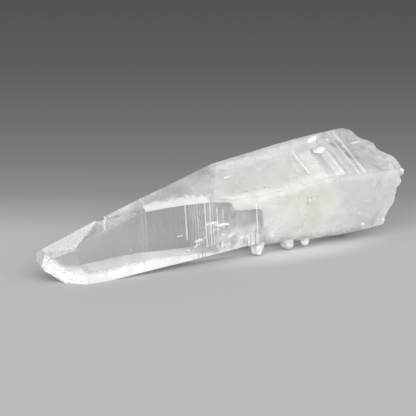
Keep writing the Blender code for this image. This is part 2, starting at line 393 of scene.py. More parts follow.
def chips_cutter():
    """Chips along the worn lower edge of the point, the ridges and the root's rim."""
    rng = random.Random(31)
    bm = bmesh.new()
    # the worn lower edge of the point
    a, b = (Vector(p) for p in WORN_EDGE)
    out = Vector((-0.67, 0.72, -0.17))
    inward = Vector((0.42, 0.30, 0.86))
    for i in range(86):
        t = rng.uniform(-0.02, 1.02)
        r = rng.uniform(0.40, 0.95)
        p = a.lerp(b, t) + inward * (rng.random() ** 1.3 * 4.6) + out * r * rng.uniform(0.60, 0.90)
        lump(bm, world(*p), r, rng.uniform(0.6, 1.0), 100 + i, 2, 1 if r < 0.6 else 2, 0.4)
    # the edge between it and the face below
    for i in range(16):
        t = rng.uniform(0, 1)
        r = rng.uniform(0.5, 1.0)
        p = a.lerp(b, t) + Vector((-0.55, -0.2, -0.75)) * r * 0.7
        lump(bm, world(*p), r, rng.uniform(0.6, 1.0), 220 + i, 2, 2, 0.4)
    # the very tip
    for i in range(9):
        p = Vector((-64.8, 1.0, -4.5)) + Vector((rng.gauss(0, 0.25), rng.gauss(0, 0.9), rng.gauss(0, 2.0)))
        lump(bm, world(*p), rng.uniform(0.35, 0.8), rng.uniform(0.5, 1.0), 260 + i, 2, 1, 0.3)
    # nicks on the ridge between the front and the face above it
    for s, out in ((-33.6, 0.5), (-12.2, 0.45), (-7.6, 0.7), (-6.6, 0.55), (-5.0, 0.8), (30.4, 0.5), (57.0, 0.6), (63.0, 0.8)):
        f, u = corners(distances(s))[0]
        lump(bm, world(s, f + out * 0.9, u + out * 0.9), out * 1.35, 0.8, int(300 + s), 2, 2, 0.3)
    # nicks on the top ridge
    for s, out in ((3.5, 0.7), (11.0, 0.6), (22.0, 0.5), (37.5, 0.8), (50.0, 0.6)):
        f, u = corners(distances(s))[1]
        lump(bm, world(s, f, u + out * 1.1), out * 1.4, 0.8, int(400 + s), 2, 2, 0.3)
    # the blunted top corner of the root
    lump(bm, world(61.6, -4.9, 17.6), 2.4, 0.8, 480, 0, 3, 0.2)
    # shell-shaped bites at the root's rim
    for s, f, u, r in ((67.5, 13.0, 9.4, 2.6), (70.8, 14.6, 6.6, 1.9), (66.0, 10.4, 12.0, 1.9), (70.0, 17.3, 0.4, 1.8),
                       (68.6, 17.6, -3.4, 2.0), (70.6, 16.9, 3.6, 1.3), (61.5, 17.2, -13.2, 1.6)):
        lump(bm, world(s, f, u), r, 0.75, int(500 + s * 3), 1, 3, 0.35)
    mesh = bpy.data.meshes.new("cut_chips")
    bm.to_mesh(mesh)
    bm.free()
    return mesh_object("cut_chips", mesh)


SMALL_CRYSTALS = [
    ((14.0, 10.2, 7.4), (-0.18, -0.08, -0.97), 7.0, 3.0),
    ((24.2, 11.2, 6.5), (0.22, -0.05, -0.96), 5.5, 3.1),
    ((31.9, 11.6, 6.2), (0.0, -0.05, -0.99), 4.9, 2.0),
]


def small_crystal(index, foot, lean, length, radius):
    bm = bmesh.new()
    body = length * 0.72
    bmesh.ops.create_cone(bm, cap_ends=True, segments=6, radius1=radius * 1.12, radius2=radius * 0.80, depth=body,
                          matrix=Matrix.Translation((0, 0, body / 2)))
    top = max(bm.faces, key=lambda f: f.calc_center_median().z)
    ext = bmesh.ops.extrude_face_region(bm, geom=[top])
    for v in [g for g in ext["geom"] if isinstance(g, bmesh.types.BMVert)]:
        v.co.z = length
        v.co.x = v.co.x * 0.58 + radius * 0.10
        v.co.y = v.co.y * 0.66
    if top.is_valid:
        bmesh.ops.delete(bm, geom=[top], context='FACES_ONLY')
    bmesh.ops.triangulate(bm, faces=bm.faces[:])
    bmesh.ops.subdivide_edges(bm, edges=bm.edges[:], cuts=7, use_grid_fill=True)
    bmesh.ops.recalc_face_normals(bm, faces=bm.faces[:])
    bm.normal_update()
    moved = {}
    for v in bm.verts:
        moved[v] = v.co + v.normal * (0.14 * noise.noise(v.co * 0.7 + Vector((index * 5.1, 0, 0))) + 0.05 * noise.noise(v.co * 2.2))
    for v, co in moved.items():
        v.co = co
    for f in bm.faces:
        f.material_index = 3
    turn = Vector(lean).normalized().to_track_quat('Z', 'Y').to_matrix().to_4x4()
    foot_at = Vector((foot[0] + AXIS_SHIFT[0], AXIS_SHIFT[1] - foot[1], foot[2])) * MM
    place = Matrix.Translation(foot_at) @ turn @ Matrix.Rotation(0.5 * index, 4, 'Z')
    bmesh.ops.transform(bm, matrix=place @ Matrix.Scale(MM, 4), verts=bm.verts[:])
    mesh = bpy.data.meshes.new("grow_%d" % index)
    bm.to_mesh(mesh)
    bm.free()
    return mesh_object("grow_%d" % index, mesh)


def boolean(ob, other, operation, own=False):
    mod = ob.modifiers.new("b", 'BOOLEAN')
    mod.operation, mod.solver, mod.object = operation, 'EXACT', other
    mod.use_self = own
    if hasattr(mod, "material_mode"):
        mod.material_mode = 'INDEX'


def bake_modifiers(ob):
    dg = bpy.context.evaluated_depsgraph_get()
    mesh = bpy.data.meshes.new_from_object(ob.evaluated_get(dg))
    ob.modifiers.clear()
    ob.data = mesh


# ------------------------------------------------------------------ node helpers
def new_material(name):
    mat = bpy.data.materials.new(name)
    mat.use_nodes = True
    nt = mat.node_tree
    return mat, nt, nt.nodes["Principled BSDF"]


def node(nt, kind, **values):
    n = nt.nodes.new(kind)
    for k, v in values.items():
        if k in n.inputs:
            n.inputs[k].default_value = v
        else:
            setattr(n, k, v)
    return n


def along_axis(nt, scale):
    """Object coordinates turned so that X runs along the c-axis."""
    tc = node(nt, "ShaderNodeTexCoord")
    mp = node(nt, "ShaderNodeMapping")
    mp.vector_type = 'POINT'
    mp.inputs["Rotation"].default_value = (0.0, math.radians(DIP), 0.0)
    mp.inputs["Scale"].default_value = scale
    nt.links.new(tc.outputs["Object"], mp.inputs["Vector"])
    return mp.outputs["Vector"]


def ramp(nt, source, stops):
    r = node(nt, "ShaderNodeValToRGB")
    r.color_ramp.elements[0].position = stops[0][0]
    r.color_ramp.elements[0].color = stops[0][1]
    r.color_ramp.elements[1].position = stops[-1][0]
    r.color_ramp.elements[1].color = stops[-1][1]
    for pos, col in stops[1:-1]:
        e = r.color_ramp.elements.new(pos)
        e.color = col
    nt.links.new(source, r.inputs["Fac"])
    return r.outputs["Color"]


def grey(v):
    return (v, v, v, 1.0)


def frost_attribute(nt):
    n = node(nt, "ShaderNodeAttribute")
    n.attribute_name = "frost"
    return n.outputs["Fac"]


def quartz_glass(name, rough_lo, rough_hi, bump, patch=90.0, lines=True, white=0.0, frost_rough=0.45, frost_white=0.62,
                 frost_from=frost_attribute, facets=None, mottle=0.0):
    """Clear quartz: plain transmission and absorption, with roughness that follows the growth lines."""
    mat, nt, sh = new_material(name)
    link = nt.links.new
    sh.inputs["IOR"].default_value = 1.544
    sh.inputs["Base Color"].default_value = (0.975, 0.98, 0.97, 1.0)
    base = along_axis(nt, (1.0, 1.0, 1.0))
    n1 = node(nt, "ShaderNodeTexNoise", Scale=patch, Detail=5.0, Roughness=0.6)
    link(base, n1.inputs["Vector"])
    rc = node(nt, "ShaderNodeMapRange")
    rc.inputs["From Min"].default_value, rc.inputs["From Max"].default_value = 0.42, 0.72
    rc.inputs["To Min"].default_value, rc.inputs["To Max"].default_value = rough_lo, rough_hi
    link(n1.outputs["Fac"], rc.inputs["Value"])
    frost = frost_from(nt)
    fr = node(nt, "ShaderNodeMath")
    fr.operation = 'MULTIPLY_ADD'
    fr.inputs[1].default_value = frost_rough
    link(frost, fr.inputs[0])
    link(rc.outputs["Result"], fr.inputs[2])
    link(fr.outputs["Value"], sh.inputs["Roughness"])
    tr = node(nt, "ShaderNodeMath")
    tr.operation = 'MULTIPLY_ADD'
    tr.inputs[1].default_value = -frost_white
    tr.inputs[2].default_value = 1.0 - white
    link(frost, tr.inputs[0])
    clear = tr.outputs["Value"]
    if mottle:
        spots = node(nt, "ShaderNodeTexNoise", Scale=650.0 if mottle < 0.17 else 380.0, Detail=6.0)
        link(base, spots.inputs["Vector"])
        sm = node(nt, "ShaderNodeMapRange")
        sm.inputs["From Min"].default_value, sm.inputs["From Max"].default_value = 0.38, 0.62
        sm.inputs["To Min"].default_value, sm.inputs["To Max"].default_value = -mottle, mottle
        link(spots.outputs["Fac"], sm.inputs["Value"])
        both = node(nt, "ShaderNodeMath")
        both.operation = 'ADD'
        both.use_clamp = True
        link(clear, both.inputs[0])
        link(sm.outputs["Result"], both.inputs[1])
        clear = both.outputs["Value"]
    link(clear, sh.inputs["Transmission Weight"])
    n3 = node(nt, "ShaderNodeTexNoise", Scale=420.0, Detail=4.0)
    link(base, n3.inputs["Vector"])
    b = node(nt, "ShaderNodeBump", Strength=bump, Distance=0.00005)
    link(n3.outputs["Fac"], b.inputs["Height"])
    last = b
    if lines:
        st = along_axis(nt, (1400.0, 40.0, 40.0))
        n2 = node(nt, "ShaderNodeTexNoise", Scale=1.0, Detail=2.0, Roughness=0.5)
        link(st, n2.inputs["Vector"])
        b2 = node(nt, "ShaderNodeBump", Strength=bump * 0.8, Distance=0.00003)
        link(n2.outputs["Fac"], b2.inputs["Height"])
        link(b.outputs["Normal"], b2.inputs["Normal"])
        last = b2
    if facets:
        height, reach = facets(nt)
        b3 = node(nt, "ShaderNodeBump", Strength=1.0, Distance=reach)
        link(height, b3.inputs["Height"])
        link(last.outputs["Normal"], b3.inputs["Normal"])
        last = b3
    link(last.outputs["Normal"], sh.inputs["Normal"])
    vol = node(nt, "ShaderNodeVolumeAbsorption")
    vol.inputs["Color"].default_value = (0.92, 0.95, 0.90, 1.0)
    vol.inputs["Density"].default_value = 2.0
    link(vol.outputs["Volume"], nt.nodes["Material Output"].inputs["Volume"])
    return mat


def side_of(nt, place, direction, lo, hi):
    """0..1 as a place moves from lo to hi metres along a direction."""
    tc = node(nt, "ShaderNodeTexCoord")
    sub = node(nt, "ShaderNodeVectorMath")
    sub.operation = 'SUBTRACT'
    sub.inputs[1].default_value = place
    nt.links.new(tc.outputs["Object"], sub.inputs[0])
    dot = node(nt, "ShaderNodeVectorMath")
    dot.operation = 'DOT_PRODUCT'
    dot.inputs[1].default_value = direction
    nt.links.new(sub.outputs["Vector"], dot.inputs[0])
    edge = node(nt, "ShaderNodeMapRange")
    edge.inputs["From Min"].default_value, edge.inputs["From Max"].default_value = lo, hi
    nt.links.new(dot.outputs["Value"], edge.inputs["Value"])
    return edge.outputs["Result"]


def combine(nt, operation, a, b):
    m = node(nt, "ShaderNodeMath")
    m.operation = operation
    for i, v in enumerate((a, b)):
        if isinstance(v, (int, float)):
            m.inputs[i].default_value = v
        else:
            nt.links.new(v, m.inputs[i])
    return m.outputs["Value"]


def in_face(a, b):
    """Across a line in the point's front face, upwards."""
    d = (b - a).cross(point_normal(*POINT_FACES[1][:2])).normalized()
    return d if d.z > 0 else -d


def point_frost(nt):
    """A frosted, barred strip along the upper edge, and a crazed zone along the worn lower edge."""
    a, b = (FRAME @ (Vector(p) * MM) for p in POINT_STRIP)
    strip = side_of(nt, a, in_face(a, b), 0.0, 0.00025)
    bars = node(nt, "ShaderNodeTexNoise", Scale=1.0, Detail=1.0)
    nt.links.new(along_axis(nt, (1300.0, 30.0, 30.0)), bars.inputs["Vector"])
    br = node(nt, "ShaderNodeMapRange")
    br.inputs["From Min"].default_value, br.inputs["From Max"].default_value = 0.42, 0.58
    br.inputs["To Min"].default_value, br.inputs["To Max"].default_value = 0.40, 0.56
    nt.links.new(bars.outputs["Fac"], br.inputs["Value"])
    # the satin band of the side face runs on across it
    low = side_of(nt, FRAME @ (Vector((-59.0, 5.3, -5.3)) * MM), (0.0, 0.0, -1.0), 0.0, 0.0004)
    deep = side_of(nt, FRAME @ (Vector((-59.0, 5.3, -5.3)) * MM), (0.0, 0.0, -1.0), 0.0, 0.0060)
    band = combine(nt, 'MULTIPLY', low, combine(nt, 'ADD', 0.10, combine(nt, 'MULTIPLY', deep, 0.55)))
    band = combine(nt, 'ADD', band, 0.32)
    marks = combine(nt, 'MAXIMUM', combine(nt, 'MULTIPLY', strip, br.outputs["Result"]), band)
    return combine(nt, 'MAXIMUM', marks, combine(nt, 'MULTIPLY', worn_zone(nt), 0.95))


def worn_zone(nt):
    a, b = (FRAME @ (Vector(p) * MM) for p in WORN_EDGE)
    wob = node(nt, "ShaderNodeTexNoise", Scale=700.0, Detail=2.0)
    nt.links.new(along_axis(nt, (1.0, 1.0, 1.0)), wob.inputs["Vector"])
    inside = side_of(nt, a, in_face(a, b), 0.0060, 0.0034)
    shift = combine(nt, 'MULTIPLY', combine(nt, 'SUBTRACT', wob.outputs["Fac"], 0.5), 1.6)
    z = node(nt, "ShaderNodeClamp")
    nt.links.new(combine(nt, 'ADD', inside, combine(nt, 'MULTIPLY', shift, inside)), z.inputs["Value"])
    return z.outputs["Result"]


def worn_facets(nt):
    cells = node(nt, "ShaderNodeTexVoronoi", Scale=950.0)
    nt.links.new(along_axis(nt, (1.0, 1.0, 1.0)), cells.inputs["Vector"])
    return combine(nt, 'MULTIPLY', cells.outputs["Distance"], worn_zone(nt)), 0.0006


def ramp01(x0, x1, v):
    x = min(1.0, max(0.0, (v - x0) / (x1 - x0)))
    return x * x * (3 - 2 * x)


BAND_TOP = [(-56.0, 0.43), (-47.0, 0.35), (-40.0, 0.33), (-33.0, 0.335), (-25.6, 0.31), (-18.0, 0.23), (-7.5, 0.10),
            (0.0, 0.06), (7.5, 0.0)]


def frost_lines(s, k, t):
    """Growth lines frosted on a side face."""
    return max([0.0] + [line[2] * bar(s, t, line) for line in {0: FRONT_LINES, 1: UPPER_FRONT_LINES}.get(k, [])])


def frost_haze(s, k, t):
    """Haze on a side face, soft and along some of its edges."""
    v = 0.0
    wave = noise.noise(Vector((s / 5.0, 2.0 * t, 4.4 + k)))
    fine = noise.noise(Vector((s / 1.6, 9.0 * t, 2.2 + k)))
    if k == 0:
        # a satin band along the lower edge
        top = slope(s, BAND_TOP) + 0.012 * wave
        if s < 7.5 and t < top:
            x = min(1.0, (top - t) / 0.05)
            deep = ramp01(0.40, 0.62, (top - t) / max(top, 0.1) + 0.08 * wave)
            grain = noise.noise(Vector((s / 0.8, 5.0 * t, 8.8)))
            v = max(v, x * (0.31 + 0.20 * (top - t) / max(top, 0.1) + 0.06 * fine + (0.60 + 0.22 * grain + 0.14 * fine) * deep))
        # the light that is thrown back along its upper edge near the point is broken up by haze
        if -57.0 < s < -33.0:
            lower = slope(s, [(-57.0, 0.84), (-52.0, 0.80), (-46.0, 0.78), (-40.0, 0.86), (-34.0, 0.95)])
            upper = slope(s, [(-57.0, 1.10), (-49.0, 1.02), (-46.5, 0.91), (-44.8, 0.87), (-39.0, 0.92), (-33.6, 1.0)])
            v = max(v, 0.32 * ramp01(lower - 0.03, lower + 0.03, t), 0.46 * ramp01(upper - 0.02, upper + 0.02, t) * (1 + 0.4 * wave))
        # scattered haze over the window, thicker below it
        if -12.0 < s < 15.0:
            side = ramp01(-12.0, 1.0, s) * ramp01(15.0, 11.0, s)
            patch = noise.noise(Vector((s / 3.0, 5.0 * t, 7.7)))
            v = max(v, side * (0.11 + 0.08 * wave + 0.08 * fine),
                    side * (0.74 + 0.34 * patch + 0.24 * fine) * ramp01(0.44 + 0.10 * patch, 0.08, t))
        # the clear half has a breath of haze, and the milky half a thicker one along its lower edge
        v = max(v, ramp01(-2.0, -9.0, s) * (0.034 + 0.052 * ramp01(-54.0, -36.0, s) + 0.035 * noise.noise(Vector((s * 1.3, 0.4, 5.5)))))
        v = max(v, (0.42 + 0.12 * fine + 0.08 * wave) * ramp01(0.32, 0.05, t + 0.04 * wave) * ramp01(11.0, 17.0, s) * ramp01(66.0, 56.0, s))
        v = max(v, 0.50 * ramp01(46.0, 64.0, s) * (1 + 0.18 * fine + 0.12 * wave))
        # a white patch where the first small crystal grows out
        v = max(v, 0.46 * ramp01(1.0, 0.0, math.hypot((s - 16.4 - 9.0 * (t - 0.15)) / 5.0, (t - 0.16) / 0.34)) * (1 + 0.7 * fine + 0.5 * wave))
    elif k == 1:
        # a frosted wedge along the ridge, thinning toward the root
        streak = noise.noise(Vector((s * 2.1, 2.5 * t, 6.1)))
        top = 0.74 - 0.28 * (s + 29.5) / 24.0 + 0.04 * fine + 0.02 * streak
        if -29.5 < s < -4.0 and t < top:
            v = max(v, 0.87 * ramp01(-4.0, -8.0, s) * ramp01(-0.10, 0.42, top - t) * min(1.1, 0.92 + 0.22 * fine + 0.14 * streak))
        base = slope(s, [(-46.0, 0.36), (-42.0, 0.48), (-30.0, 0.44), (-27.0, 0.22), (-12.0, 0.19), (-8.0, 0.27), (0.0, 0.22), (8.0, 0.09), (18.0, 0.05),
                         (53.0, 0.05), (57.0, 0.24), (64.0, 0.27)])
        v = max(v, base * (1.0 + 0.5 * wave))
        # the cloud reaches the top ridge as a thin haze
        v = max(v, 0.36 * ramp01(0.60, 0.86, t + 0.03 * fine) * ramp01(-4.0, 4.0, s) * ramp01(66.0, 54.0, s) * (1 + 0.35 * fine))
    elif k in (2, 4, 5):
        v = max(0.0, 0.25 + 0.5 * noise.noise(Vector((s / 4.0, 0.3, t * 1.5))))
    return v


def height_on(q, k):
    """How far up a side face a place is, as a fraction of the face's height."""
    cs = corners(smooth_distances(q.x))
    (f0, u0), (f1, u1) = cs[k - 1], cs[k]
    return ((q.y - f0) * (f1 - f0) + (q.z - u0) * (u1 - u0)) / ((f1 - f0) ** 2 + (u1 - u0) ** 2)


def build_crystal():
    mesh = crystal_blank()
    bm = bmesh.new()
    bm.from_mesh(mesh)
    for i, (angle, lean, place) in enumerate(POINT_FACES):
        cut(bm, FRAME @ (Vector(place) * MM), point_normal(angle, lean), {0: 4, 5: 4, 1: 7}.get(i, 0))
    cut(bm, Vector((0, 0, 0)), Vector((0, 0, -1)), 5)
    bmesh.ops.triangulate(bm, faces=bm.faces[:])
    bmesh.ops.recalc_face_normals(bm, faces=bm.faces[:])
    bm.to_mesh(mesh)
    bm.free()
    ob = mesh_object("quartz_body", mesh)
    mats = [
        quartz_glass("quartz_clear", 0.0, 0.03, 0.12),
        quartz_glass("quartz_broken", 0.02, 0.22, 0.9, 300.0, lines=False, white=0.64, mottle=0.18),
        quartz_glass("quartz_chipped", 0.03, 0.30, 0.6, 500.0, lines=False, white=0.90, mottle=0.10),
        quartz_glass("quartz_stub", 0.03, 0.20, 0.8, 400.0, lines=False, white=0.56, mottle=0.16),
        quartz_glass("quartz_frosted", 0.25, 0.35, 0.3, 200.0, lines=False, white=0.48, mottle=0.03),
        quartz_glass("quartz_underside", 0.12, 0.40, 0.6, 160.0, lines=False, white=0.80),
        quartz_glass("quartz_satin", 0.10, 0.30, 0.3, 220.0, lines=True, white=0.72, frost_white=0.25),
        quartz_glass("quartz_point_front", 0.0, 0.03, 0.10, lines=False, frost_white=0.95, frost_from=point_frost, facets=worn_facets),
    ]
    for m in mats:
        ob.data.materials.append(m)
    cutter = root_cutter()
    chips = chips_cutter()
    grown = [small_crystal(i, *c) for i, c in enumerate(SMALL_CRYSTALS, start=1)]
    for other in [cutter, chips] + grown:
        for m in mats:
            other.data.materials.append(m)
    boolean(ob, cutter, 'DIFFERENCE')
    for g in grown:
        boolean(ob, g, 'UNION')
    boolean(ob, chips, 'DIFFERENCE', own=True)
    bake_modifiers(ob)
    for other in [cutter, chips] + grown:
        bpy.data.objects.remove(other, do_unlink=True)
    bm = bmesh.new()
    bm.from_mesh(ob.data)
    # a chip can leave a loose crumb: keep the largest body
    seen, groups = set(), []
    for v in bm.verts:
        if v in seen:
            continue
        stack, group = [v], []
        seen.add(v)
        while stack:
            w = stack.pop()
            group.append(w)
            for e in w.link_edges:
                o = e.other_vert(w)
                if o not in seen:
                    seen.add(o)
                    stack.append(o)
        groups.append(group)
    groups.sort(key=len, reverse=True)
    for group in groups[1:]:
        bmesh.ops.delete(bm, geom=group, context='VERTS')
    ngons = [f for f in bm.faces if len(f.verts) > 4]
    bmesh.ops.triangulate(bm, faces=ngons)
    layer = bm.loops.layers.float.new("frost")
    for f in bm.faces:
        f.smooth = f.material_index == 1
        if f.material_index == 0:
            q = (FRAME_INV @ f.calc_center_median()) / MM
            n = FRAME_INV.to_3x3() @ f.normal
            if abs(n.x) < 0.5:
                a = math.degrees(math.atan2(n.z, n.y)) % 360
                if a < 24 or a > 335 or 36 < a < 84 or 215 < a < 266 or 95 < a < 145 or 270 < a < 330:
                    k = 1 if 36 < a < 84 else 4 if 215 < a < 266 else 2 if 95 < a < 145 else 5 if 270 < a < 330 else 0
                    if k == 4 or (k == 5 and q.x > 8) or (k == 2 and q.x < -6):
                        f.material_index = 6
                    v = frost_lines(q.x, k, height_on(q, k))
                    for loop in f.loops:
                        c = (FRAME_INV @ loop.vert.co) / MM
                        loop[layer] = max(v, frost_haze(c.x, k, height_on(c, k)))
    print("crystal", len(bm.verts), len(bm.faces), "open edges", sum(1 for e in bm.edges if len(e.link_faces) != 2),
          "tris", sum(len(f.verts) - 2 for f in bm.faces), "crumbs", len(groups) - 1)
    bm.to_mesh(ob.data)
    bm.free()
    return ob


crystal = build_crystal()
crystal.name = "quartz_body"
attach(crystal, "root")
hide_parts("quartz_crystal")


# ------------------------------------------------------------------ what is sealed in it
def soft_radius(dist, theta, power=9.0):
    """Radius of a rounded cross-section in one direction."""
    total = 0.0
    for d, a in zip(dist, ANGLES):
        c = math.cos(theta - math.radians(a))
        if c > 0.05:
            total += (max(d, 0.4) / c) ** -power
    return total ** (-1.0 / power)


def cloud_start(f, u):
    """Where the cloud begins: early under the upper faces, later behind the front face."""
    upper = -6.0 + 0.70 * (12.0 - f)
    middle = 1.5 + 0.5 * (12.0 - f)
    lower = 13.0 + 0.50 * (12.5 - f)
    def mix(x0, x1, v):
        x = min(1.0, max(0.0, (v - x0) / (x1 - x0)))
        return x * x * (3 - 2 * x)
    a = mix(-0.3, 1.4, u)
    b = mix(4.4, 5.0, u)
    return lower + (middle - lower) * a + (upper - middle) * b


def cloud_body(name, inset, seed, start, end, lumpiness, rings=90, around=110, cap=12):
    """A closed cloud body inside the crystal."""
    base = seed * 13.7
    co, tone = [], []
    def place(theta, tau, shrink):
        s_guess = 30.0
        for _ in range(3):
            dist = [d - inset for d in smooth_distances(s_guess)]
            r = soft_radius(dist, theta) * shrink
            f, u = r * math.cos(theta), r * math.sin(theta)
            lo, hi = start(f, u), end(f, u)
            s_new = lo + (hi - lo) * tau
            if abs(s_new - s_guess) < 0.05:
                s_guess = s_new
                break
            s_guess = s_new
        return s_guess, f, u, r
    def vertex(theta, tau, shrink):
        s, f, u, r = place(theta, tau, shrink)
        n = 0.70 * noise.noise(Vector((s / 7.0 + base, f / 5.0, u / 5.0)))
        n += 0.22 * noise.noise(Vector((s / 2.4 + base, f / 2.0, u / 2.0)))
        d = lumpiness * (n - 0.35)
        k = max(0.0, (r + min(d, inset * 0.5) * (1 if shrink > 0.98 else 0)) / r) if r > 1e-6 else 1.0
        if shrink <= 0.98:
            s += lumpiness * 0.8 * n * (1 if tau < 0.5 else -1)
        return (s, f * k, u * k)
    rows = [(0.0, (i + 1) / (cap + 1)) for i in range(cap)]
    rows += [(i / (rings - 1), 1.0) for i in range(rings)]
    rows += [(1.0, 1 - (i + 1) / (cap + 1)) for i in range(cap)]
    rows = [(t, math.sin(c * math.pi / 2) if c < 1 else 1.0) for t, c in rows]
    for t, c in rows:
        for j in range(around):
            co.append(vertex(2 * math.pi * j / around, t, c))
    co.append(vertex(0.0, 0.0, 0.0))
    co.append(vertex(0.0, 1.0, 0.0))
    faces = []
    for i in range(len(rows) - 1):
        a, b = i * around, (i + 1) * around
        for j in range(around):
            k = (j + 1) % around
            faces.append((a + j, a + k, b + k, b + j))
    first, last, end = len(co) - 2, len(co) - 1, (len(rows) - 1) * around
    for j in range(around):
        k = (j + 1) % around
        faces.append((first, k, j))
        faces.append((last, end + j, end + k))
    mesh = bpy.data.meshes.new(name)
    pts = world_np(co)
    floor_gap = 0.4 * inset * MM
    pts[:, 2] = np.where(pts[:, 2] < floor_gap, floor_gap + 0.03 * (pts[:, 2] - floor_gap), pts[:, 2])
    mesh.from_pydata([tuple(p) for p in pts], [], faces)
    mesh.update()
    bm = bmesh.new()
    bm.from_mesh(mesh)
    bmesh.ops.recalc_face_normals(bm, faces=bm.faces[:])
    bm.to_mesh(mesh)
    bm.free()
    for p in mesh.polygons:
        p.use_smooth = True
    ob = mesh_object(name, mesh)
    return ob, np.array(co)


# Places with a colour or tone of their own: (station, forward, up), reach in mm, strength
OLIVE = [((9.0, 9.8, 7.2), 4.6, 1.0), ((4.5, 9.6, 7.6), 3.0, 0.5), ((16.5, 9.0, 9.0), 4.0, 0.6), ((28.0, 9.5, 9.5), 4.5, 0.5), ((36.0, 13.0, -2.0), 6.0, 0.5),
         ((24.0, 12.0, 2.0), 5.0, 0.35), ((31.0, 14.0, -9.0), 5.0, 0.35)]
WHITE = [((3.6, 5.5, 10.4), 3.2, 1.0), ((1.5, 8.5, 8.6), 3.0, 0.7), ((19.0, 13.0, -7.0), 5.0, 0.8), ((31.5, 13.5, 0.0), 2.0, 0.9), ((14.0, 11.0, 5.0), 4.0, 0.4), ((-1.0, 8.5, 10.5), 4.0, 0.5),
         ((22.0, 13.0, -10.0), 6.0, 0.8), ((10.0, 5.0, 13.0), 6.0, 0.4)]


def blobs(p, table):
    v = 0.0
    for at, reach, strength in table:
        d2 = sum((a - b) ** 2 for a, b in zip(p, at)) / reach ** 2
        v = max(v, strength * math.exp(-d2))
    return v


def cloud_material(name, seed, alpha_lo, alpha_hi, cover, tint):
    mat, nt, sh = new_material(name)
    link = nt.links.new
    sh.inputs["Roughness"].default_value = 1.0
    sh.inputs["Specular IOR Level"].default_value = 0.0
    base = along_axis(nt, (1.0, 1.0, 1.0))
    n1 = node(nt, "ShaderNodeTexNoise", Scale=75.0, Detail=5.0, Roughness=0.55)
    mp = node(nt, "ShaderNodeVectorMath")
    mp.operation = 'ADD'
    mp.inputs[1].default_value = (seed * 1.31, seed * 0.77, seed * 0.43)
    link(base, mp.inputs[0])
    link(mp.outputs["Vector"], n1.inputs["Vector"])
    al = ramp(nt, n1.outputs["Fac"], [(0.44 - cover * 0.16, grey(alpha_lo)), (0.74 - cover * 0.16, grey(alpha_hi))])
    fade = node(nt, "ShaderNodeAttribute")
    fade.attribute_name = "fade"
    mul = node(nt, "ShaderNodeMath")
    mul.operation = 'MULTIPLY'
    link(al, mul.inputs[0])
    link(fade.outputs["Fac"], mul.inputs[1])
    link(mul.outputs["Value"], sh.inputs["Alpha"])
    n2 = node(nt, "ShaderNodeTexNoise", Scale=70.0, Detail=4.0, Roughness=0.55)
    link(mp.outputs["Vector"], n2.inputs["Vector"])
    col = ramp(nt, n2.outputs["Fac"], [(0.35, (tint[0] * 0.965, tint[1] * 0.97, tint[2] * 0.935, 1)), (0.65, (*tint, 1))])
    own = node(nt, "ShaderNodeAttribute")
    own.attribute_name = "tone"
    mixc = node(nt, "ShaderNodeMix")
    mixc.data_type = 'RGBA'
    mixc.blend_type = 'MULTIPLY'
    mixc.inputs["Factor"].default_value = 1.0
    link(col, mixc.inputs["A"])
    link(own.outputs["Color"], mixc.inputs["B"])
    link(mixc.outputs["Result"], sh.inputs["Base Color"])
    return mat


def cloud(name, inset, seed, start, end, lumpiness, alpha_lo, alpha_hi, cover, tint, fading, **kw):
    ob, co = cloud_body(name, inset, seed, start, end, lumpiness, **kw)
    mesh = ob.data
    mesh.color_attributes.new("tone", 'FLOAT_COLOR', 'POINT')
    mesh.attributes.new("fade", 'FLOAT', 'POINT')
    tone, fade = mesh.color_attributes["tone"], mesh.attributes["fade"]
    for i, p in enumerate(co):
        o, w = blobs(p, OLIVE), blobs(p, WHITE)
        # painted shade: the cloud's colour is made darker on its upper side, under the upper faces, to stand in for
        # less light falling there; it also darkens toward the root
        up = max(0.0, math.sin(math.atan2(p[2], p[1]))) if p[2] > 0 else 0.0
        m = noise.noise(Vector((p[0] / 3.2, p[1] / 2.6, p[2] / 2.6))) + 0.6 * noise.noise(Vector((p[0] / 1.3, p[1] / 1.2, p[2] / 1.2 + 9)))
        g = (0.985 + 0.03 * w + 0.055 * m) * (1.0 - 0.17 * min(1.0, up * 1.25)) * (1.0 - 0.16 * ramp01(36.0, 60.0, p[0]))
        g = min(1.0, g)
        tone.data[i].color = (g * (1 - 0.12 * o), g * (1 - 0.11 * o), g * (1 - 0.175 * o), 1.0)
        fade.data[i].value = fading(*p)
    mesh.materials.append(cloud_material(name + "_haze", seed, alpha_lo, alpha_hi, cover, tint))
    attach(ob, "root")
    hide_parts("quartz_crystal")
    return ob


def cloud_end(f, u, gap, window):
    """Short of the broken root, and shorter still under the upper face, which has a clear window there."""
    return root_surface(f, u) - gap - window * ramp01(0.8, 4.8, u)


cloud("cloud_veil", 0.8, 1, lambda f, u: cloud_start(f, u) - 0.4, lambda f, u: cloud_end(f, u, 0.9, 9.0), 0.3,
      0.10, 0.40, 0.5, (0.985, 0.983, 0.975), lambda s, f, u: 1.0 - 0.35 * ramp01(42, 68, s))
cloud("cloud_core", 1.9, 3, lambda f, u: cloud_start(f, u) + 0.6, lambda f, u: cloud_end(f, u, 1.3, 12.0), 0.7,
      1.0, 1.0, 1.0, (0.98, 0.98, 0.973), lambda s, f, u: 1.0 - 0.7 * ramp01(54, 69, s), rings=80, around=90)
cloud("cloud_mist", 4.0, 5, lambda f, u: -13.0 - 0.4 * u + 0.5 * (12 - f), lambda f, u: 20.0, 1.2,
      0.10, 0.80, 0.9, (0.98, 0.982, 0.972),
      lambda s, f, u: 0.45 * (0.35 + 0.65 * ramp01(-10, -2, s)) + 1.1 * ramp01(-4.0, -7.5, u) * ramp01(-8, 3, s), rings=50, around=80)


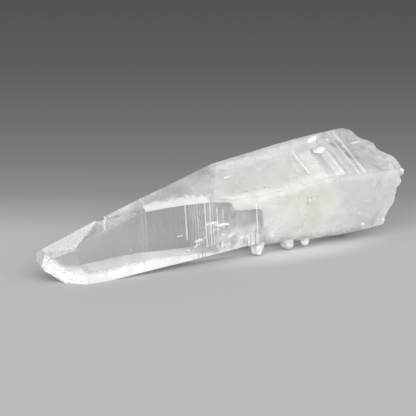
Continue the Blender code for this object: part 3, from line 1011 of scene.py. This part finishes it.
# ------------------------------------------------------------------ cracks and spots
def sealed_material(name, colour, metallic, rough, alpha_lo, alpha_hi, scale=900.0):
    mat, nt, sh = new_material(name)
    sh.inputs["Metallic"].default_value = metallic
    sh.inputs["Roughness"].default_value = rough
    sh.inputs["Specular IOR Level"].default_value = 0.2
    n1 = node(nt, "ShaderNodeTexNoise", Scale=scale, Detail=4.0)
    nt.links.new(along_axis(nt, (0.4, 1.0, 1.0)), n1.inputs["Vector"])
    r = node(nt, "ShaderNodeMapRange")
    r.inputs["From Min"].default_value, r.inputs["From Max"].default_value = 0.38, 0.60
    r.inputs["To Min"].default_value, r.inputs["To Max"].default_value = alpha_lo, alpha_hi
    nt.links.new(n1.outputs["Fac"], r.inputs["Value"])
    nt.links.new(r.outputs["Result"], sh.inputs["Alpha"])
    col = ramp(nt, n1.outputs["Fac"], [(0.3, (colour[0] * 0.92, colour[1] * 0.92, colour[2] * 0.92, 1)), (0.7, (*colour, 1))])
    nt.links.new(col, sh.inputs["Base Color"])
    return mat


CRACK = sealed_material("crack_silver", (0.96, 0.965, 0.955), 0.85, 0.34, 0.10, 0.66)
FLAW = sealed_material("flaw_white", (0.99, 0.99, 0.985), 0.5, 0.5, 0.55, 0.95)
CREAM = sealed_material("flaw_cream", (0.99, 0.985, 0.92), 0.4, 0.5, 0.75, 0.95)
DARK = sealed_material("fleck_dark", (0.16, 0.17, 0.16), 0.0, 0.5, 0.8, 1.0)
# painted glint: a green glint, painted as a green fleck
GREEN_GLINT = sealed_material("glint_green_painted", (0.55, 0.72, 0.28), 0.0, 0.6, 0.6, 0.9)
YELLOW = sealed_material("fleck_yellow", (0.85, 0.88, 0.50), 0.0, 0.6, 0.6, 0.9)


def lens(bm, at, along, facing, long, wide, thick, seed, bend=0.15):
    """A thin closed lens with an irregular rim: a sealed crack or a flat flaw."""
    rng = random.Random(seed)
    n = (Vector(facing) + Vector((rng.gauss(0, 0.06), rng.gauss(0, 0.06), rng.gauss(0, 0.06)))).normalized()
    y = n.cross(Vector(along)).normalized()
    x = y.cross(n).normalized()
    rows, cols = 5, 22
    top, low = [], []
    phase = [rng.uniform(0, 6.28) for _ in range(4)]
    def rim(a):
        return 1 + 0.16 * math.sin(2 * a + phase[0]) + 0.11 * math.sin(3 * a + phase[1]) + 0.07 * math.sin(5 * a + phase[2]) + 0.04 * math.sin(9 * a + phase[3])
    def spot(r, a, side):
        k = r * rim(a)
        px, py = math.cos(a) * k, math.sin(a) * k
        lift = bend * wide * (px * px - 0.5 * py * py) + 0.05 * wide * noise.noise(Vector((px * 3 + seed, py * 3, 0)))
        q = Vector(at) + x * (px * long) + y * (py * wide) + n * (lift + side * thick * (1 - r ** 2) / 2)
        return bm.verts.new(world(*q))
    ring = [spot(1.0, 2 * math.pi * j / cols, 0) for j in range(cols)]
    for side in (1, -1):
        prev = ring
        for i in range(rows - 1, 0, -1):
            cur = [spot(i / rows, 2 * math.pi * j / cols, side) for j in range(cols)]
            for j in range(cols):
                k = (j + 1) % cols
                quad = (prev[j], prev[k], cur[k], cur[j])
                bm.faces.new(quad if side > 0 else quad[::-1])
            prev = cur
        mid = spot(0.0, 0.0, side)
        for j in range(cols):
            k = (j + 1) % cols
            tri = (prev[j], prev[k], mid)
            bm.faces.new(tri if side > 0 else tri[::-1])


def sealed(name, material, lenses):
    bm = bmesh.new()
    for i, item in enumerate(lenses):
        lens(bm, *item, seed=i * 7 + len(name))
    bmesh.ops.recalc_face_normals(bm, faces=bm.faces[:])
    mesh = bpy.data.meshes.new(name)
    bm.to_mesh(mesh)
    bm.free()
    for p in mesh.polygons:
        p.use_smooth = True
    mesh.materials.append(material)
    ob = mesh_object(name, mesh)
    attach(ob, "root")
    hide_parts("quartz_crystal")
    return ob


# (place), (along), (facing), half length, half width, thickness; in mm, as (station, forward, up)
FRONTAL = (-0.25, 0.93, 0.15)      # facing out through the front face
UPWARD = (-0.06, 0.62, 0.78)       # facing out through the upper front face
sealed("cracks", CRACK, [
    ((-1.4, 10.9, -3.0), (1, 0, -0.05), FRONTAL, 3.1, 0.95, 0.12),
    ((-5.4, 11.0, -1.6), (1, 0, 0.0), FRONTAL, 2.9, 0.62, 0.08),
    ((-6.8, 11.2, -2.0), (1, 0, 0.1), FRONTAL, 1.2, 0.25, 0.08),
    ((-4.0, 11.1, -3.8), (1, 0, -0.05), FRONTAL, 1.7, 0.30, 0.08),
    ((-9.8, 10.2, -6.4), (1, 0, 0.30), FRONTAL, 3.0, 0.62, 0.10),
    ((-11.3, 10.8, -7.8), (1, 0, 0.5), FRONTAL, 1.8, 0.30, 0.08),
    ((-9.4, 10.8, -7.5), (1, 0, 0.3), FRONTAL, 1.6, 0.26, 0.08),
    ((-17.0, 9.4, -3.7), (1, 0, 0.0), FRONTAL, 1.8, 0.22, 0.06),
    ((-14.6, 9.6, -2.6), (1, 0, 0.0), FRONTAL, 0.9, 0.14, 0.05),
    ((-4.6, 8.7, 6.7), (1, -0.2, 0.0), UPWARD, 1.6, 0.4, 0.06),
    ((2.0, 11.0, -7.0), (1, 0, 0.4), FRONTAL, 2.2, 0.45, 0.08),
    ((6.5, 11.2, -8.4), (1, 0, 0.2), FRONTAL, 2.0, 0.45, 0.08),
    ((-2.0, 11.3, -6.3), (1, 0, -0.5), FRONTAL, 1.3, 0.35, 0.08),
    ((-14.0, 7.5, -9.8), (1, 0, 0.1), FRONTAL, 1.4, 0.3, 0.06),
])
sealed("flaws_white", FLAW, [
    ((-2.4, 11.9, -9.2), (0.3, 0, 1), FRONTAL, 1.3, 0.5, 0.10),
    ((6.1, 4.1, 10.5), (1, 0, 0), UPWARD, 2.3, 0.55, 0.10),
    ((10.4, -0.2, 13.2), (0.55, -0.5, 0.28), UPWARD, 1.5, 0.22, 0.08),
    ((7.9, 0.3, 12.9), (0.55, -0.5, 0.28), UPWARD, 1.2, 0.16, 0.08),
    ((44.6, -1.33, 15.55), (1, 0, 0), UPWARD, 2.3, 1.25, 0.14),
    ((42.6, -0.4, 15.0), (1, 0.3, 0), UPWARD, 1.2, 0.6, 0.10),
    ((50.1, 0.0, 14.5), (1, 0, 0), UPWARD, 0.45, 0.4, 0.08),
    ((54.1, 3.7, 11.9), (0.3, 1, -0.5), UPWARD, 0.9, 0.28, 0.08),
    ((31.9, 14.7, -0.4), (1, 0, 0), FRONTAL, 0.5, 0.65, 0.08),
    ((26.6, 14.4, -1.5), (1, 0, 0), FRONTAL, 0.6, 0.35, 0.08),
    ((27.3, 14.4, -3.8), (1, 0, 0), FRONTAL, 0.5, 0.4, 0.08),
    ((-9.4, 9.9, 6.8), (1, 0, 0), UPWARD, 0.9, 0.25, 0.06),
    ((-35.8, 10.2, -4.4), (1, 0, 0), FRONTAL, 0.28, 0.28, 0.06),
    ((-50.9, 9.2, 2.2), (1, 0, 0), FRONTAL, 0.22, 0.22, 0.06),
    ((56.5, 15.0, -7.2), (0.35, 0, 1), FRONTAL, 1.0, 0.35, 0.08),
    ((51.8, 14.9, -9.1), (1, 0, 0), FRONTAL, 0.4, 0.5, 0.08),
    ((53.3, 14.8, -13.6), (1, 0, 0), FRONTAL, 1.0, 0.6, 0.10),
    ((17.6, 13.2, -8.8), (0.62, 0, 0.78), FRONTAL, 2.3, 0.7, 0.12),
])
sealed("flaws_cream", CREAM, [
    ((43.7, 3.7, 12.65), (1, 0.10, -0.05), UPWARD, 2.7, 1.45, 0.16),
    ((60.6, 2.0, 12.0), (1, 0, 0), UPWARD, 2.1, 0.45, 0.10),
])
sealed("flecks_dark", DARK, [
    ((15.9, -2.2, 14.4), (1, 0.35, -0.2), UPWARD, 1.0, 0.26, 0.10),
    ((46.1, -1.9, 15.8), (1, 0, 0), UPWARD, 0.35, 0.25, 0.08),
    ((8.7, 10.7, 6.2), (1, -0.15, 0), UPWARD, 1.6, 0.10, 0.06),
    ((-60.2, 3.3, -6.8), (1, 0, 0), FRONTAL, 0.35, 0.2, 0.06),
    ((-52.0, 9.7, -7.6), (1, 0, 0), FRONTAL, 0.9, 0.16, 0.06),
])
# painted glint: the green glint beside the dark speck, painted as a green fleck
sealed("flecks_green", GREEN_GLINT, [
    ((18.3, -2.5, 14.6), (1, 0.4, -0.2), UPWARD, 0.7, 0.20, 0.08),
])
sealed("flecks_yellow", YELLOW, [
    ((53.6, 5.44, 10.8), (1, 0, 0), UPWARD, 0.5, 0.4, 0.08),
])


# ------------------------------------------------------------------ stage, light, camera
def stage():
    bm = bmesh.new()
    profile = [(0.05, 0.0), (0.15, 0.0), (0.35, 0.0), (0.6, 0.0), (0.9, 0.0), (1.25, 0.0), (1.6, 0.0), (1.85, 0.03),
               (2.05, 0.10), (2.2, 0.22), (2.28, 0.36), (2.3, 0.5)]
    n = 96
    rings = []
    for r, z in profile:
        rings.append([bm.verts.new((r * math.cos(2 * math.pi * i / n), r * math.sin(2 * math.pi * i / n), z)) for i in range(n)])
    centre = bm.verts.new((0, 0, 0))
    for i in range(n):
        bm.faces.new((centre, rings[0][i], rings[0][(i + 1) % n]))
    for a, b in zip(rings, rings[1:]):
        for i in range(n):
            bm.faces.new((a[i], b[i], b[(i + 1) % n], a[(i + 1) % n]))
    mesh = bpy.data.meshes.new("floor")
    bm.to_mesh(mesh)
    bm.free()
    for p in mesh.polygons:
        p.use_smooth = True
    ob = mesh_object("floor", mesh)
    mat, nt, sh = new_material("floor_paper")
    link = nt.links.new
    sh.inputs["Roughness"].default_value = 0.95
    sh.inputs["Specular IOR Level"].default_value = 0.1
    tc = node(nt, "ShaderNodeTexCoord")
    # how far behind the crystal, as the camera looks: the floor's colour darkens with it, painted shade for the light
    # falling off toward the back
    dot = node(nt, "ShaderNodeVectorMath")
    dot.operation = 'DOT_PRODUCT'
    dot.inputs[1].default_value = (-math.sin(AZ), math.cos(AZ), 0.0)
    link(tc.outputs["Object"], dot.inputs[0])
    behind = node(nt, "ShaderNodeMapRange")
    behind.inputs["From Min"].default_value = -0.1
    behind.inputs["From Max"].default_value = 0.7
    link(dot.outputs["Value"], behind.inputs["Value"])
    def at(metres):
        return (metres + 0.1) / 0.8
    # painted shade: the floor is painted darker the further it lies behind the crystal
    painted_shade_behind = [(-0.1, 0.390), (0.01, 0.390), (0.025, 0.375), (0.045, 0.305), (0.08, 0.210), (0.13, 0.160), (0.22, 0.112), (0.36, 0.078), (0.65, 0.055)]
    col = ramp(nt, behind.outputs["Result"], [(at(m), (v * 0.995, v * 0.99, v * 1.015, 1)) for m, v in painted_shade_behind])
    # painted light: a pale patch painted on the floor under the crystal, lifting its contact shadow
    shift = node(nt, "ShaderNodeVectorMath")
    shift.operation = 'SUBTRACT'
    shift.inputs[1].default_value = (0.012, 0.002, 0.0)
    link(tc.outputs["Object"], shift.inputs[0])
    squash = node(nt, "ShaderNodeVectorMath")
    squash.operation = 'MULTIPLY'
    squash.inputs[1].default_value = (1 / 0.050, 1 / 0.0120, 0.0)
    link(shift.outputs["Vector"], squash.inputs[0])
    far = node(nt, "ShaderNodeVectorMath")
    far.operation = 'LENGTH'
    link(squash.outputs["Vector"], far.inputs[0])
    under = node(nt, "ShaderNodeMapRange")
    under.inputs["From Min"].default_value, under.inputs["From Max"].default_value = 1.0, 0.75
    link(far.outputs["Value"], under.inputs["Value"])
    # and a soft one in front of it, where the crystal throws light on to the floor
    off = node(nt, "ShaderNodeVectorMath")
    off.operation = 'SUBTRACT'
    off.inputs[1].default_value = (0.026, -0.010, 0.0)
    link(tc.outputs["Object"], off.inputs[0])
    flat = node(nt, "ShaderNodeVectorMath")
    flat.operation = 'MULTIPLY'
    flat.inputs[1].default_value = (1 / 0.050, 1 / 0.020, 0.0)
    link(off.outputs["Vector"], flat.inputs[0])
    reach = node(nt, "ShaderNodeVectorMath")
    reach.operation = 'LENGTH'
    link(flat.outputs["Vector"], reach.inputs[0])
    glow = node(nt, "ShaderNodeMapRange")
    glow.interpolation_type = 'SMOOTHSTEP'
    glow.inputs["From Min"].default_value, glow.inputs["From Max"].default_value = 1.0, 0.1
    glow.inputs["To Min"].default_value, glow.inputs["To Max"].default_value = 0.0, 0.42
    link(reach.outputs["Value"], glow.inputs["Value"])
    mixc = node(nt, "ShaderNodeMix")
    mixc.data_type = 'RGBA'
    link(combine(nt, 'MAXIMUM', under.outputs["Result"], glow.outputs["Result"]), mixc.inputs["Factor"])
    link(col, mixc.inputs["A"])
    mixc.inputs["B"].default_value = (0.85, 0.85, 0.84, 1.0)
    link(mixc.outputs["Result"], sh.inputs["Base Color"])
    mesh.materials.append(mat)
    return ob


AZ, EL, DISTANCE = math.radians(-31.0), math.radians(15.0), 0.55
stage()


scene = bpy.context.scene
background = bpy.data.worlds.new("room")
scene.world = background
background.use_nodes = True
wt = background.node_tree
wt.nodes["Background"].inputs["Color"].default_value = (0.985, 0.99, 1.0, 1.0)
wc = node(wt, "ShaderNodeTexCoord")
wd = node(wt, "ShaderNodeVectorMath")
wd.operation = 'DOT_PRODUCT'
wd.inputs[1].default_value = Vector((-0.25, -0.95, 0.0)).normalized()
wt.links.new(wc.outputs["Generated"], wd.inputs[0])
wr = node(wt, "ShaderNodeMapRange")
wr.inputs["From Min"].default_value, wr.inputs["From Max"].default_value = 0.25, 1.0
wr.inputs["To Min"].default_value, wr.inputs["To Max"].default_value = 0.70, 5.35
wt.links.new(wd.outputs["Value"], wr.inputs["Value"])
wt.links.new(wr.outputs["Result"], wt.nodes["Background"].inputs["Strength"])

back = Vector((math.sin(AZ) * math.cos(EL), -math.cos(AZ) * math.cos(EL), math.sin(EL)))
camera_data = bpy.data.cameras.new("camera")
camera = bpy.data.objects.new("camera", camera_data)
scene.collection.objects.link(camera)
target = Vector((AXIS_SHIFT[0], AXIS_SHIFT[1], AXIS_HEIGHT)) * MM
camera.location = target + back * DISTANCE
camera.rotation_euler = (-back).to_track_quat('-Z', 'Y').to_euler()
camera_data.angle = math.radians(14.654)
camera_data.clip_start, camera_data.clip_end = 0.01, 20.0
scene.camera = camera

scene.cycles.max_bounces = 24
scene.cycles.transmission_bounces = 24
scene.cycles.glossy_bounces = 12
scene.cycles.diffuse_bounces = 12
scene.cycles.transparent_max_bounces = 32
scene.cycles.use_denoising = True
scene.cycles.blur_glossy = 0.3
scene.view_settings.view_transform = 'Standard'
